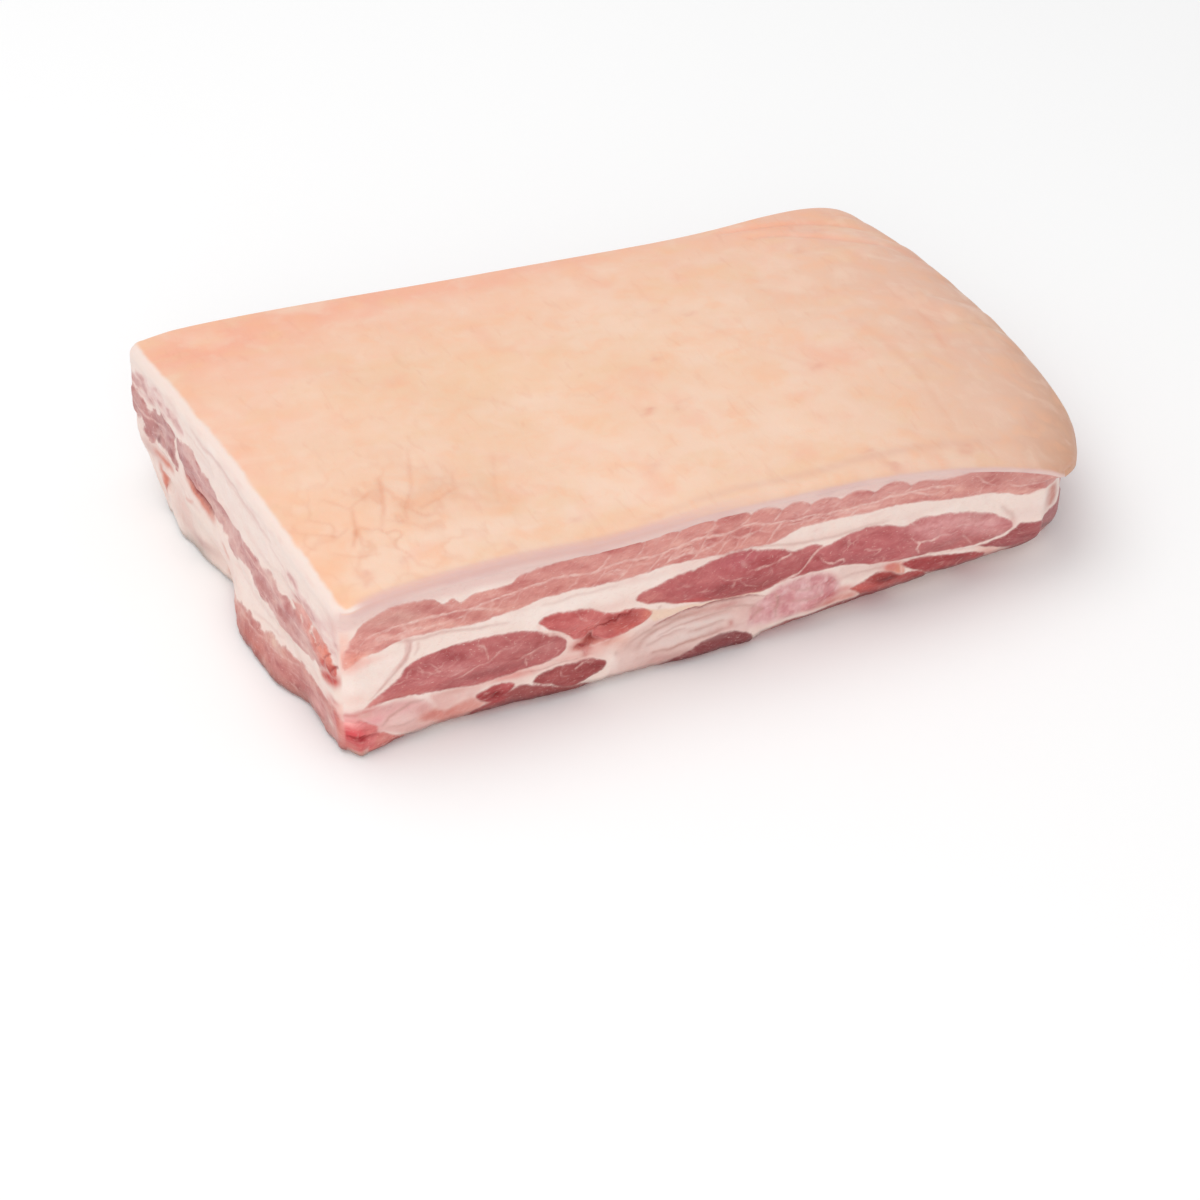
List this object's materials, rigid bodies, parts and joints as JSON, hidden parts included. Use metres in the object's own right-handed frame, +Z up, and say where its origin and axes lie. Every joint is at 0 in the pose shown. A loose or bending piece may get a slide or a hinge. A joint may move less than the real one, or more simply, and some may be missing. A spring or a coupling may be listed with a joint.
{
  "type": "pork belly slab",
  "caption": "Raw slab of pork belly with the rind on, cut square, showing bands of fat and lean on its four cut sides, with the rind rolled down over one end.",
  "frame": {"origin": "middle of the underside, at the centre of the bounding box", "axes": "+X along the long front side towards the end where the rind rolls down, +Y to the back, +Z up through the rind"},
  "size_m": [0.313, 0.2036, 0.0629],
  "materials": {
    "meat": "moist raw meat: salmon and dark red lean in bands of white fat",
    "rind": "satin, pale peach pig skin, scalded and scraped"
  },
  "bodies": {
    "root": {"pork_belly": "meat"}
  },
  "joints": []
}
